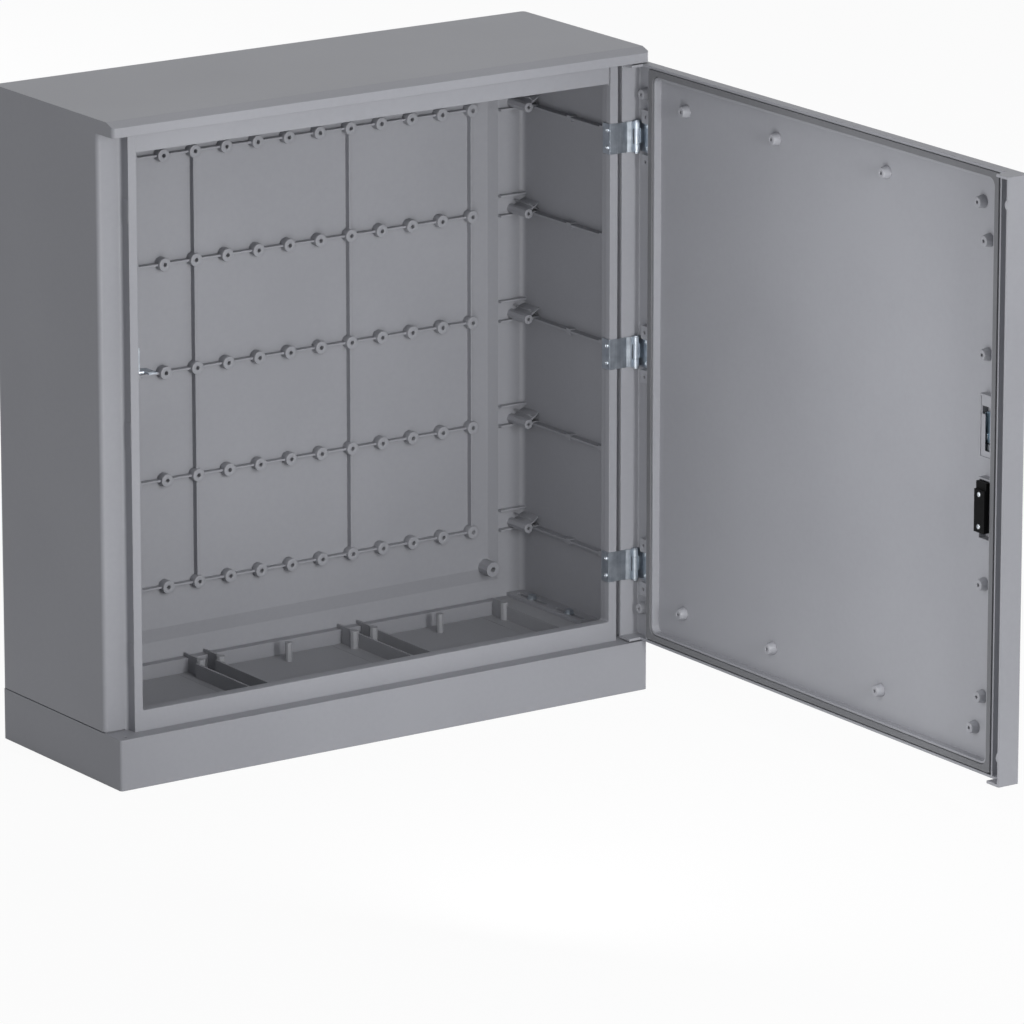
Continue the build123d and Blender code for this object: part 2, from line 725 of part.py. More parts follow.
# Pads above and below each hinge, and lugs on the free flange
pad_c = half - hinge_pad_in
for hinge_z in hinge_heights:
    for rise in (-hinge_pad_spacing / 2, hinge_pad_spacing / 2):
        pad_x = (pad_c - hinge_pad_width / 2, pad_c + hinge_pad_width / 2)
        pad_z = (hinge_z + rise - hinge_pad_length / 2, hinge_z + rise + hinge_pad_length / 2)
        door_pieces.append(block(pad_x, (skin_y - 1, rib_tip_y), pad_z))
        hole_r = door_boss_hole / 2
        door_holes.append(forward(pad_c, rib_tip_y + 1, hinge_z + rise, hole_r, door_boss_hole_depth + 1, hole_sides))
lug_rise = flange_gap - lug_gap
lug_radius = (lug_width ** 2 / 4 + lug_rise ** 2) / (2 * lug_rise)
for lug_z in (door_z1 - lug_top_down, door_z0 + lug_bottom_up):
    lug_round = across(-half, flange_tip_y + lug_rise - lug_radius, lug_z, lug_radius, flange_thickness)
    lug_box = block((-half, -half + flange_thickness), (flange_tip_y - 0.5, flange_tip_y + lug_rise + 1), (lug_z - lug_width, lug_z + lug_width))
    door_pieces.append(lug_round & lug_box)

# Pockets for the lock and for the cable of its cover, beside the inner rib
pocket_x0 = -inner_rib_x + rib_half
pocket_x1 = pocket_x0 + pocket_width
lock_x = (pocket_x0 + pocket_x1) / 2
for z0, z1 in ((lock_pocket_bottom, lock_pocket_top), (cover_pocket_bottom, cover_pocket_top)):
    outer = block((pocket_x0 - 1, pocket_x1 + pocket_wall), (skin_y - 1, rib_tip_y), (z0 - pocket_wall, z1 + pocket_wall))
    inner = block((pocket_x0 - 2, pocket_x1), (skin_y - 2, rib_tip_y + 1), (z0, z1))
    door_pieces.append(outer - inner)

# Seats for the two cover screws
cover_x0 = -opening_x + cover_reveal_gap
cover_x1 = pocket_x1 - 0.3
cover_screw_x = (cover_x0 + cover_x1) / 2
for screw_z in (cover_screw_low, cover_screw_high):
    foot = Plane(origin=(cover_screw_x, skin_y - 1, screw_z), x_dir=(1, 0, 0), z_dir=(0, 1, 0))
    door_pieces.append(extrude(foot * round_face(3.5, post_sides), boss_rise + 1 - 3))
door += door_pieces

# Holes of the door: bosses, hinge screws, cover screws and the lock spindle
leaf_screw_x = hinge_x - door_leaf_reach + 6
for hinge_z in hinge_heights:
    for rise in (-screw_spacing / 2 - 3, screw_spacing / 2 + 3):
        door_holes.append(forward(leaf_screw_x, skin_y + 1, hinge_z + rise, screw_hole_r, door_screw_length + 1, screw_sides))
for screw_z in (cover_screw_low, cover_screw_high):
    door_holes.append(forward(cover_screw_x, rib_tip_y, screw_z, screw_hole_r, boss_rise - 1, screw_sides))
door_holes.append(forward(lock_x, skin_y + 1, lock_z, spindle_diameter / 2 + spindle_clearance, door_skin + 2))
door -= door_holes
save(swing(door), "door_shell")

# Gasket in the groove between the ribs
groove_x0 = inner_rib_x + rib_half + gasket_side_gap
groove_x1 = outer_rib_x - rib_half - gasket_side_gap
gasket_width = groove_x1 - groove_x0
groove_z0 = ring_z0 - rib_half - gasket_side_gap
groove_z1 = ring_z1 + rib_half + gasket_side_gap
bottom_room = groove_z0 - (door_z0 + end_wall_thickness + gasket_side_gap)
top_room = door_z1 - end_wall_thickness - gasket_side_gap - groove_z1
gasket_end = min(gasket_width, bottom_room, top_room)
gasket_out = frame_sketch(groove_x1, groove_z0 - gasket_end, groove_z1 + gasket_end, 4)
gasket_in = frame_sketch(groove_x0, groove_z0, groove_z1, inner_rib_corner_radius)
gasket_top_y = rim_y - leaf_thickness - gasket_leaf_gap
gasket_plane = facing_front(gasket_top_y)
gasket_height = gasket_top_y - skin_y - gasket_floor_gap
gasket = extrude(gasket_plane * (gasket_out - gasket_in), gasket_height)
save(swing(gasket), "door_gasket")

# Hinge leaves: bent strip sections drawn in plan and raised to the leaf height
pin_r = pin_diameter / 2
bore_r = pin_r + pin_clearance
knuckle_r = bore_r + leaf_thickness
half_leaf = leaf_height / 2
half_door_knuckle = door_knuckle_height / 2
plate_end = opening_x + leaf_reach
joggle_end = plate_end + joggle_length
leaf_front = rim_y - leaf_thickness
strip_y0 = hinge_y + bore_r
strip_y1 = hinge_y + knuckle_r
leaf_points = [
    (opening_x - leaf_thickness, rim_y + leg_depth),
    (opening_x - leaf_thickness, leaf_front),
    (plate_end, leaf_front),
    (joggle_end, strip_y0),
    (hinge_x, strip_y0),
    (hinge_x, strip_y1),
    (joggle_end, strip_y1),
    (plate_end, rim_y),
    (opening_x, rim_y),
    (opening_x, rim_y + leg_depth),
]
knuckle_ring = Pos(hinge_x, hinge_y) * (round_face(knuckle_r, knuckle_sides) - Circle(bore_r))
body_leaf_plan = make_face(Polyline(leaf_points, close=True)) + knuckle_ring
leaf_bend_x = hinge_x + bore_r
floor_top = skin_y + leaf_thickness
door_leaf_points = [
    (hinge_x - door_leaf_reach, skin_y),
    (hinge_x + knuckle_r, skin_y),
    (hinge_x + knuckle_r, hinge_y),
    (leaf_bend_x, hinge_y),
    (leaf_bend_x, floor_top),
    (hinge_x - door_leaf_reach, floor_top),
]
door_leaf_plan = make_face(Polyline(door_leaf_points, close=True)) + knuckle_ring
body_leaf = extrude(flat(-half_leaf) * body_leaf_plan, leaf_height)
notch_x = hinge_x - knuckle_r - 0.5
notch_half = half_door_knuckle + knuckle_gap
body_leaf -= block((notch_x, hinge_x + knuckle_r + 1), (leaf_front - 12, rim_y + 1), (-notch_half, notch_half))
door_leaf = extrude(flat(-half_leaf) * door_leaf_plan, leaf_height)
for z0, z1 in ((-half_leaf - 1, -half_door_knuckle), (half_door_knuckle, half_leaf + 1)):
    door_leaf -= block((hinge_x - knuckle_r - 1, hinge_x + knuckle_r + 1), (floor_top, strip_y1 + 1), (z0, z1))
for rise in (-screw_spacing / 2, screw_spacing / 2):
    body_leaf -= across(opening_x - leaf_thickness - 1, reveal_screw_y, rise, screw_hole_r, leaf_thickness + 2, screw_sides)
for rise in (-screw_spacing / 2 - 3, screw_spacing / 2 + 3):
    door_leaf -= forward(leaf_screw_x, floor_top + 1, rise, screw_hole_r, leaf_thickness + 2, screw_sides)
head_z = half_leaf + pin_head_gap
pin = upright(hinge_x, hinge_y, -head_z, pin_r, 2 * head_z)
pin += upright(hinge_x, hinge_y, head_z, knuckle_r - 0.3, pin_head_thickness, knuckle_sides)
pin += upright(hinge_x, hinge_y, -head_z - pin_head_thickness, knuckle_r - 0.3, pin_head_thickness, knuckle_sides)
for name, hinge_z in zip(("bottom", "middle", "top"), hinge_heights):
    save(Pos(0, 0, hinge_z) * body_leaf, "hinge_body_leaf_" + name)
    save(swing(Pos(0, 0, hinge_z) * door_leaf), "hinge_door_leaf_" + name)
    save(swing(Pos(0, 0, hinge_z) * pin), "hinge_pin_" + name)

# Screws of the leaves, of the strike plate and of the lock cover
body_screws = []
door_screws = []
for hinge_z in hinge_heights:
    for rise in (-screw_spacing / 2, screw_spacing / 2):
        start_x = opening_x - leaf_thickness
        screw = across(start_x, reveal_screw_y, hinge_z + rise, screw_diameter / 2, screw_length, screw_sides)
        screw += across(start_x - screw_head_height, reveal_screw_y, hinge_z + rise, screw_head / 2, screw_head_height, head_sides)
        body_screws.append(screw)
    for rise in (-screw_spacing / 2 - 3, screw_spacing / 2 + 3):
        screw = forward(leaf_screw_x, floor_top, hinge_z + rise, screw_diameter / 2, leaf_thickness + door_screw_length - 0.5, screw_sides)
        screw += forward(leaf_screw_x, floor_top + screw_head_height, hinge_z + rise, screw_head / 2, screw_head_height, head_sides)
        door_screws.append(screw)
save(Compound(children=body_screws), "hinge_body_screws")
save(swing(Compound(children=door_screws)), "hinge_door_screws")

# Strike plate: a leg on the reveal and a tongue with a slot for the bolt
case_front = skin_y + case_thickness
crank_y1 = case_front + layer_gap + crank_thickness
bolt_y0 = crank_y1 + layer_gap
bolt_y1 = bolt_y0 + bolt_thickness
tongue_z = (strike_z0, strike_z0 + tongue_thickness)
tongue_x0 = lock_x - tongue_width / 2
tongue_x1 = lock_x + tongue_width / 2
slot_gap = 1
tongue_y0 = bolt_y0 - slot_gap - 1.2
tongue_points = [
    (-opening_x, rim_y + leg_depth),
    (-opening_x, rim_y),
    (tongue_x0, rim_y - 1.5),
    (tongue_x0, tongue_y0),
    (tongue_x1, tongue_y0),
    (tongue_x1, rim_y + leg_depth),
]
tongue = extrude(flat(tongue_z[0]) * make_face(Polyline(tongue_points, close=True)), tongue_thickness)
bolt_nose = bolt_width - 6
slot_x_range = (lock_x - bolt_nose / 2 - slot_gap, lock_x + bolt_nose / 2 + slot_gap)
tongue -= block(slot_x_range, (bolt_y0 - slot_gap, bolt_y1 + slot_gap), (tongue_z[0] - 1, tongue_z[1] + 1))
leg_x = (-opening_x, -opening_x + leaf_thickness)
strike = tongue + block(leg_x, (rim_y, rim_y + leg_depth), (tongue_z[0], tongue_z[0] + strike_leg_height))
for screw_z in strike_screw_heights:
    strike -= across(-opening_x - 1, reveal_screw_y, screw_z, screw_hole_r, leaf_thickness + 2, screw_sides)
save(strike, "strike_plate")
strike_screws = []
for screw_z in strike_screw_heights:
    head_x = -opening_x + leaf_thickness
    screw = across(head_x - screw_length, reveal_screw_y, screw_z, screw_diameter / 2, screw_length, screw_sides)
    screw += across(head_x, reveal_screw_y, screw_z, screw_head / 2, screw_head_height, head_sides)
    strike_screws.append(screw)
save(Compound(children=strike_screws), "strike_screws")

# Lock case: base plate with two lipped guides and a raised block
slide_gap = 0.3
guide_x = bolt_width / 2 + slide_gap
case_top = bolt_top - 2
guide_z = (bolt_top - 20, case_top)
guide_tip = bolt_y1 + layer_gap + case_thickness
case_pieces = [block((lock_x - guide_x - case_wall, lock_x + guide_x + case_wall), (skin_y, case_front), (lock_pocket_bottom + 2, case_top))]
for side in (-1, 1):
    post_x = (lock_x + side * guide_x, lock_x + side * (guide_x + case_wall))
    case_pieces.append(block(post_x, (skin_y, guide_tip), guide_z))
    lip_x = (lock_x + side * (guide_x - 2), lock_x + side * (guide_x + case_wall))
    case_pieces.append(block(lip_x, (guide_tip - case_thickness, guide_tip), guide_z))
block_z = (lock_pocket_bottom + 4, lock_z - bolt_tail - 2)
case_pieces.append(block((lock_x - 6, lock_x + 6), (skin_y, bolt_y1), block_z))
case = case_pieces[0] + case_pieces[1:]
case -= forward(lock_x, case_front + 1, lock_z, spindle_diameter / 2 + 0.6, case_thickness + 2, knuckle_sides)
save(swing(case), "lock_case")

# Bolt plate with the crank slot, and the spindle with its crank pin
crank_r = bolt_stroke / sqrt(2)
pin_x = lock_x + crank_r * sin(radians(45))
pin_z = lock_z - bolt_stroke / 2
bolt_z0 = lock_z - bolt_tail
latch = block((lock_x - bolt_width / 2, lock_x + bolt_width / 2), (bolt_y0, bolt_y1), (bolt_z0, bolt_top - 8))
latch += block((lock_x - bolt_nose / 2, lock_x + bolt_nose / 2), (bolt_y0, bolt_y1), (bolt_top - 9, bolt_top))
crank_pin_r = crank_pin_diameter / 2
crank_room = crank_pin_r + crank_clearance
slot_box_x = (pin_x - crank_room, lock_x + crank_r + crank_room)
latch -= block(slot_box_x, (bolt_y0 - 1, bolt_y1 + 1), (pin_z - crank_room, pin_z + crank_room))
save(swing(latch), "latch_bolt")
spindle_end = case_front + layer_gap
base_y = door_y0 - handle_base_thickness
spindle = forward(lock_x, spindle_end + crank_thickness, lock_z, crank_r + crank_pin_r, crank_thickness, knuckle_sides)
spindle += forward(lock_x, spindle_end + 0.5, lock_z, spindle_diameter / 2, spindle_end + 0.5 - base_y)
square_z = (lock_z - spindle_square / 2, lock_z + spindle_square / 2)
square_x = (lock_x - spindle_square / 2, lock_x + spindle_square / 2)
spindle += block(square_x, (base_y - handle_hub_height + 2, base_y + 1), square_z)
spindle += forward(pin_x, bolt_y1 + layer_gap, pin_z, crank_pin_r, bolt_y1 + layer_gap - spindle_end - 0.5, post_sides)
head_y = bolt_y1 + layer_gap + crank_thickness
spindle += forward(pin_x, head_y, pin_z, crank_head_diameter / 2, crank_thickness, knuckle_sides)
save(swing(spindle), "lock_spindle")

# Outside handle: base plate and lever
base_plate = Pos(lock_x, lock_z - 20) * RectangleRounded(handle_base_width, handle_base_height, 8)
handle_base = extrude(facing_front(door_y0) * base_plate, handle_base_thickness)
handle_base -= forward(lock_x, door_y0 + 1, lock_z, spindle_diameter / 2 + 0.6, handle_base_thickness + 2, knuckle_sides)
save(swing(handle_base), "handle_base")
lever_y = base_y - 0.3
lever = forward(lock_x, lever_y, lock_z, handle_hub_diameter / 2, handle_hub_height)
arm_plate = Pos(lock_x, lock_z - handle_arm_length / 2) * RectangleRounded(handle_arm_width, handle_arm_length, 6)
lever += extrude(facing_front(lever_y - handle_hub_height + handle_arm_thickness) * arm_plate, handle_arm_thickness)
socket = spindle_square / 2 + 0.05
lever -= block((lock_x - socket, lock_x + socket), (base_y - handle_hub_height + 2 - 0.1, base_y + 1), (lock_z - socket, lock_z + socket))
save(swing(lever), "handle_lever")

# Black cover over the lower pocket, thin walled with a stepped top
cover_y1 = rib_tip_y + cover_proud
cover_step_z = cover_top - cover_step_height
cover_profile = [
    (rib_tip_y + 0.3, cover_bottom),
    (cover_y1, cover_bottom),
    (cover_y1, cover_step_z),
    (cover_y1 - cover_step_drop, cover_step_z),
    (cover_y1 - cover_step_drop, cover_top),
    (rib_tip_y + 0.3, cover_top),
]
cover_plane = Plane(origin=(cover_x0, 0, 0), x_dir=(0, 1, 0), z_dir=(1, 0, 0))
cover = extrude(cover_plane * make_face(Polyline(cover_profile, close=True)), cover_x1 - cover_x0)
cover_hollow_x = (cover_x0 + cover_wall, cover_x1 - cover_wall)
cover_hollow_y = (rib_tip_y, cover_y1 - cover_step_drop - cover_wall)
cover -= block(cover_hollow_x, cover_hollow_y, (cover_bottom + cover_wall, cover_top - cover_wall))
cover_screw_seat = cover_y1 - cover_step_drop - cover_wall
screw_tubes = []
tube_holes = []
for screw_z in (cover_screw_low, cover_screw_high):
    screw_tubes.append(forward(cover_screw_x, cover_screw_seat + 1, screw_z, 3.5, cover_screw_seat + 1 - rib_tip_y + 2.7, post_sides))
    tube_holes.append(forward(cover_screw_x, cover_y1 + 1, screw_z, screw_hole_r, cover_proud + 6, screw_sides))
cover += screw_tubes
cover -= tube_holes
save(swing(cover), "lock_cover")
cover_screws = []
for screw_z in (cover_screw_low, cover_screw_high):
    screw = forward(cover_screw_x, cover_y1, screw_z, screw_diameter / 2, cover_proud + 8, screw_sides)
    screw += forward(cover_screw_x, cover_y1 + screw_head_height, screw_z, screw_head / 2, screw_head_height, head_sides)
    cover_screws.append(screw)
save(swing(Compound(children=cover_screws)), "lock_cover_screws")
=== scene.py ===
import bpy, math
from mathutils import Matrix, Vector


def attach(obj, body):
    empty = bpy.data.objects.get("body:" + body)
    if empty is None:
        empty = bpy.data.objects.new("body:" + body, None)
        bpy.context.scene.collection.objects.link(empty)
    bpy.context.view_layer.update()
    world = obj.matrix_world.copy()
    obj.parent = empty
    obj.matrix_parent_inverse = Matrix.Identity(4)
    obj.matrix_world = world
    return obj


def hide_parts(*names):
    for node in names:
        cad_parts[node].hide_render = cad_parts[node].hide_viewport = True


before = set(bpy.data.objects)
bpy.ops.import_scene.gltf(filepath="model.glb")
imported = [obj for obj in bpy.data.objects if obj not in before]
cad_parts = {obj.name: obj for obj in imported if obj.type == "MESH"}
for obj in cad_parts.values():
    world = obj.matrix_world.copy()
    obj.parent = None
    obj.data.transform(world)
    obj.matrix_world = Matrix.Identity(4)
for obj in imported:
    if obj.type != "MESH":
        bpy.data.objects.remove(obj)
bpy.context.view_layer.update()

scene = bpy.context.scene

# Camera: a long lens in front and to the left, about 3 m up, which sees the front,
# the left wall, the roof and the inside of the open door.
camera_place = (-5.7353, -8.8082, 3.1328)
camera_yaw, camera_tilt = 34.43, 15.17
camera = bpy.data.objects.new("camera", bpy.data.cameras.new("camera"))
camera.data.lens = 282.8
camera.data.sensor_width = 36
camera.data.clip_end = 60
camera.location = camera_place
camera.rotation_euler = (math.radians(90 - camera_tilt), 0, math.radians(-camera_yaw))
scene.collection.objects.link(camera)
scene.camera = camera
scene.view_settings.view_transform = "Standard"


# Studio floor: white to the camera and in reflections, a matt pale grey to the light.
# It lies just under the foot flange, and a small share of the matt keeps the shadow.
def linear(hex_colour):
    # sRGB hex to the linear colour that a shader socket takes
    parts = [int(hex_colour[i : i + 2], 16) / 255 for i in (1, 3, 5)]
    curved = [c / 12.92 if c < 0.04045 else ((c + 0.055) / 1.055) ** 2.4 for c in parts]
    return (*curved, 1.0)


def add_node(tree, kind, values={}, links={}):
    # One node with its settings by name and its links by socket name or number
    node = tree.nodes.new(kind)
    for name, value in values.items():
        if isinstance(name, str) and hasattr(node, name):
            setattr(node, name, value)
        else:
            node.inputs[name].default_value = value
    for name, source in links.items():
        tree.links.new(source, node.inputs[name])
    return node


def any_ray_of(tree, *kinds):
    # 1 for a ray of any of the named kinds, 0 for every other ray
    path = add_node(tree, "ShaderNodeLightPath")
    found = path.outputs[kinds[0]]
    for kind in kinds[1:]:
        links = {0: found, 1: path.outputs[kind]}
        found = add_node(tree, "ShaderNodeMath", {"operation": "MAXIMUM"}, links).outputs[0]
    return found


def new_paint(name):
    # A material with an empty node tree
    paint = bpy.data.materials.new(name)
    paint.use_nodes = True
    paint.node_tree.nodes.clear()
    return paint


floor_size, floor_drop, white_share = 14, 0.0006, 0.94
bpy.ops.mesh.primitive_plane_add(size=floor_size, location=(0, 0, -floor_drop))
floor = bpy.context.object
floor.name = "studio_floor"
floor_paint = new_paint("white_floor_paint")
tree = floor_paint.node_tree
glare = add_node(tree, "ShaderNodeEmission", {"Color": (1, 1, 1, 1), "Strength": 1.0})
matt = add_node(tree, "ShaderNodeBsdfDiffuse", {"Color": linear("#e6e6e6")})
seen = any_ray_of(tree, "Is Camera Ray", "Is Glossy Ray")
lit = add_node(tree, "ShaderNodeMath", {"operation": "MULTIPLY", 1: white_share}, {0: seen})
shaders = {0: lit.outputs[0], 1: matt.outputs[0], 2: glare.outputs[0]}
mix = add_node(tree, "ShaderNodeMixShader", {}, shaders)
add_node(tree, "ShaderNodeOutputMaterial", {}, {"Surface": mix.outputs[0]})
floor.data.materials.append(floor_paint)

# Surround: white where the camera, a reflection or glass sees it, and elsewhere a
# low and slightly cool fill, so that the greys render about as they are written.
fill_level, fill_tint = 0.365, (0.94, 0.95, 1.0, 1)
world = bpy.data.worlds.new("white_surround")
scene.world = world
world.use_nodes = True
tree = world.node_tree
tree.nodes.clear()
seen = any_ray_of(tree, "Is Camera Ray", "Is Glossy Ray", "Is Transmission Ray")
level = add_node(
    tree, "ShaderNodeMapRange", {"To Min": fill_level, "To Max": 1.0}, {"Value": seen}
)
cool = add_node(
    tree, "ShaderNodeMixRGB", {"Color1": fill_tint, "Color2": (1, 1, 1, 1)}, {"Fac": seen}
)
sky_links = {"Color": cool.outputs[0], "Strength": level.outputs[0]}
sky = add_node(tree, "ShaderNodeBackground", {}, sky_links)
add_node(tree, "ShaderNodeOutputWorld", {}, {"Surface": sky.outputs[0]})

# Lamps: a tall strip in front, a weak one that faces the inside of the door, one over
# the roof, and low fills for the sides that the photograph hides. Metres and watts.
for name, place, aim, size, power in (
    ("front_strip", (-0.15, -4.2, 1.3), (0.1, 0.0, 0.45), (0.5, 1.8), 76),
    ("door_side_strip", (-0.33, -0.92, 0.55), (0.42, -0.5, 0.48), (0.16, 0.8), 4.4),
    ("roof_lamp", (0.6, 0.4, 4.0), (0.0, 0.0, 0.9), (2.0, 2.0), 10),
    ("hinge_side_fill", (4.6, -0.4, 0.9), (0.4, -0.3, 0.45), (2.0, 1.4), 80),
    ("back_fill", (0.3, 4.8, 0.9), (0.0, 0.1, 0.45), (2.0, 1.4), 80),
):
    lamp = bpy.data.objects.new(name, bpy.data.lights.new(name, "AREA"))
    lamp.data.shape = "RECTANGLE"
    lamp.data.size, lamp.data.size_y = size
    lamp.data.energy = power
    lamp.visible_camera = False
    lamp.location = place
    lamp.rotation_euler = (Vector(aim) - Vector(place)).to_track_quat("-Z", "Y").to_euler()
    scene.collection.objects.link(lamp)


# Plinth: pressed glass-filled polyester compound, the same as the body. The press
# leaves a faint satin skin, with soft edges and a slow drift in its grey.
def noise_scale(mark_mm):
    # A noise cell is two marks wide, and the scale counts its cells in a metre
    return 1000 / mark_mm / 2


def finish_paint(tree, look, tone, gloss, relief, edge, strength, depth):
    # The shader of a material: rounded edges under a fine relief
    soft = add_node(tree, "ShaderNodeBevel", {"samples": 6, "Radius": edge})
    skin = add_node(
        tree,
        "ShaderNodeBump",
        {"Strength": strength, "Distance": depth},
        {"Height": relief.outputs[0], "Normal": soft.outputs[0]},
    )
    shade = add_node(
        tree,
        "ShaderNodeBsdfPrincipled",
        look,
        {"Base Color": tone.outputs[0], "Roughness": gloss.outputs[0], "Normal": skin.outputs[0]},
    )
    add_node(tree, "ShaderNodeOutputMaterial", {}, {"Surface": shade.outputs[0]})


def moulded(name, dark, pale, rough, edge_mm, grain_mm=0.9, ior=1.5):
    # A press-moulded compound: fine skin grain, slow colour drift, rounded edges
    clouds_per_metre, specks_per_metre = 3.2, 140.0
    cloud_share, speck_share = 0.75, 0.25
    grain_strength, grain_depth = 0.12, 0.00012
    paint = new_paint(name)
    tree = paint.node_tree
    place = {"Vector": add_node(tree, "ShaderNodeTexCoord").outputs["Object"]}
    clouds = add_node(
        tree, "ShaderNodeTexNoise", {"Scale": clouds_per_metre, "Detail": 2.0}, place
    )
    grain = add_node(
        tree, "ShaderNodeTexNoise", {"Scale": noise_scale(grain_mm), "Detail": 1.0}, place
    )
    specks = add_node(
        tree, "ShaderNodeTexNoise", {"Scale": specks_per_metre, "Detail": 3.0}, place
    )
    faint = add_node(
        tree,
        "ShaderNodeMath",
        {"operation": "MULTIPLY", 1: speck_share},
        {0: specks.outputs[0]},
    )
    drift = add_node(
        tree,
        "ShaderNodeMath",
        {"operation": "MULTIPLY_ADD", 1: cloud_share},
        {0: clouds.outputs[0], 2: faint.outputs[0]},
    )
    tone = add_node(tree, "ShaderNodeValToRGB", {}, {"Fac": drift.outputs[0]})
    for stop, position, colour in zip(tone.color_ramp.elements, (0.36, 0.62), (dark, pale)):
        stop.position, stop.color = position, linear(colour)
    gloss = add_node(
        tree,
        "ShaderNodeMapRange",
        {"To Min": rough - 0.05, "To Max": rough + 0.06},
        {"Value": specks.outputs[0]},
    )
    finish_paint(
        tree, {"IOR": ior}, tone, gloss, grain, edge_mm / 1000, grain_strength, grain_depth
    )
    return paint


def dress(name, paint):
    # The material of a CAD node
    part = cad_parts[name]
    part.data.materials.clear()
    part.data.materials.append(paint)


plinth_compound = moulded("plinth_compound", "#88898e", "#8e8f94", rough=0.52, edge_mm=1.2)
dress("plinth", plinth_compound)

# Cabinet body: walls, roof, collar, bosses and ribs in one pressed moulding of the
# grey compound, which stands on the plinth and is bolted to it.
body_compound = moulded("body_compound", "#8d8e93", "#939499", rough=0.5, edge_mm=1.2)
dress("body_shell", body_compound)


# Mouths of the wall bosses: a grid of short sleeves with blind holes on the back
# wall, turned round here over the flats of the solids.
def select_none():
    if bpy.context.mode != "OBJECT":
        bpy.ops.object.mode_set(mode="OBJECT")
    bpy.ops.object.select_all(action="DESELECT")


def inset_and_push(piece, chosen, inset, push):
    # The chosen faces drawn in by inset, then extruded along Z by push
    bpy.ops.object.mode_set(mode="EDIT")
    bpy.ops.mesh.select_mode(type="FACE")
    bpy.ops.mesh.select_all(action="DESELECT")
    bpy.ops.object.mode_set(mode="OBJECT")
    for face in piece.data.polygons:
        face.select = chosen(face)
    bpy.ops.object.mode_set(mode="EDIT")
    bpy.ops.mesh.inset(thickness=inset, depth=0)
    bpy.ops.mesh.extrude_region_move(TRANSFORM_OT_translate={"value": (0, 0, push)})
    bpy.ops.object.mode_set(mode="OBJECT")


def apply_modifier(piece, kind, **settings):
    # One modifier with its settings, applied at once
    select_none()
    piece.select_set(True)
    bpy.context.view_layer.objects.active = piece
    modifier = piece.modifiers.new(kind.lower(), kind)
    for name, value in settings.items():
        setattr(modifier, name, value)
    bpy.ops.object.modifier_apply(modifier=modifier.name)


def turned_sleeve(name, outer, foot, hole, length, depth):
    # One round sleeve along +Z with a blind hole, its mouth at z = 0
    sides, soft_edge = 28, 0.0006
    middle = -length / 2
    select_none()
    bpy.ops.mesh.primitive_cylinder_add(
        vertices=sides, radius=1, depth=length, location=(0, 0, middle)
    )
    sleeve = bpy.context.object
    sleeve.name = name
    bpy.ops.object.transform_apply(location=True)
    for vertex in sleeve.data.vertices:
        radius = outer if vertex.co.z > middle else foot
        vertex.co.x *= radius
        vertex.co.y *= radius
    inset_and_push(sleeve, lambda face: face.normal.z > 0.9, outer - hole, -depth)
    apply_modifier(
        sleeve,
        "BEVEL",
        width=soft_edge,
        segments=2,
        limit_method="ANGLE",
        angle_limit=math.radians(50),
    )
    bpy.ops.object.shade_smooth_by_angle(angle=math.radians(40))
    return sleeve


def copies(pattern, name, places, turn):
    # The same pattern at each place, each copy with its own mesh, joined as one piece
    made = []
    for place in places:
        one = pattern.copy()
        one.data = pattern.data.copy()
        one.data.transform(Matrix.Translation(Vector(place)) @ turn)
        scene.collection.objects.link(one)
        made.append(one)
    bpy.data.objects.remove(pattern)
    select_none()
    for one in made:
        one.select_set(True)
    bpy.context.view_layer.objects.active = made[0]
    bpy.ops.object.join()
    joined = bpy.context.object
    joined.name = name
    return joined


row_bottom, row_pitch, rows = 0.176, 0.15, 5
column_left, column_pitch, columns = -0.325, 0.05, 14
boss_radius, boss_hole, boss_length, boss_depth = 0.0091, 0.0029, 0.0128, 0.0095
boss_front_y, mouth_proud = 0.127, 0.0002
row_heights = [row_bottom + row_pitch * row for row in range(rows)]
boss_places = [
    (column_left + column_pitch * column, boss_front_y - mouth_proud, z)
    for column in range(columns)
    for z in row_heights
]
towards_front = Matrix.Rotation(math.radians(90), 4, "X")
sleeve = turned_sleeve("boss", boss_radius, boss_radius, boss_hole, boss_length, boss_depth)
wall_bosses = copies(sleeve, "wall_boss_mouths", boss_places, towards_front)
wall_bosses.data.materials.append(body_compound)
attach(wall_bosses, "cabinet")

# Brackets in the back corners: two sloped wings carry each tube from the side wall,
# pressed in one with the body, with thin walls and softened edges.
wing_start, wing_width, wing_length, wing_wall = 0.0045, 0.0195, 0.039, 0.0022
wing_slope, wing_edge = math.radians(32), 0.0006
bracket_x, bracket_middle_y = 0.4, 0.1245
select_none()
bpy.ops.mesh.primitive_cube_add(size=1)
wing = bpy.context.object
wing.name = "wing"
for vertex in wing.data.vertices:
    along = wing_start + (vertex.co.x + 0.5) * wing_width
    lift = vertex.co.z * wing_wall
    vertex.co = (
        along * math.cos(wing_slope) - lift * math.sin(wing_slope),
        vertex.co.y * wing_length,
        along * math.sin(wing_slope) + lift,
    )
bpy.ops.object.mode_set(mode="EDIT")
bpy.ops.mesh.select_all(action="SELECT")
bpy.ops.mesh.bevel(offset=wing_edge, segments=2)
bpy.ops.mesh.duplicate()
bpy.ops.transform.resize(value=(1, 1, -1))
bpy.ops.mesh.select_all(action="SELECT")
bpy.ops.mesh.normals_make_consistent(inside=False)
bpy.ops.object.mode_set(mode="OBJECT")
bpy.ops.object.shade_smooth_by_angle(angle=math.radians(35))
for side, sign, turn in (("right", 1, 0), ("left", -1, math.pi)):
    seats = [(sign * bracket_x, bracket_middle_y, z) for z in row_heights]
    wings = copies(wing.copy(), "bracket_wings_" + side, seats, Matrix.Rotation(turn, 4, "Z"))
    wings.data.materials.append(body_compound)
    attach(wings, "cabinet")
bpy.data.objects.remove(wing)

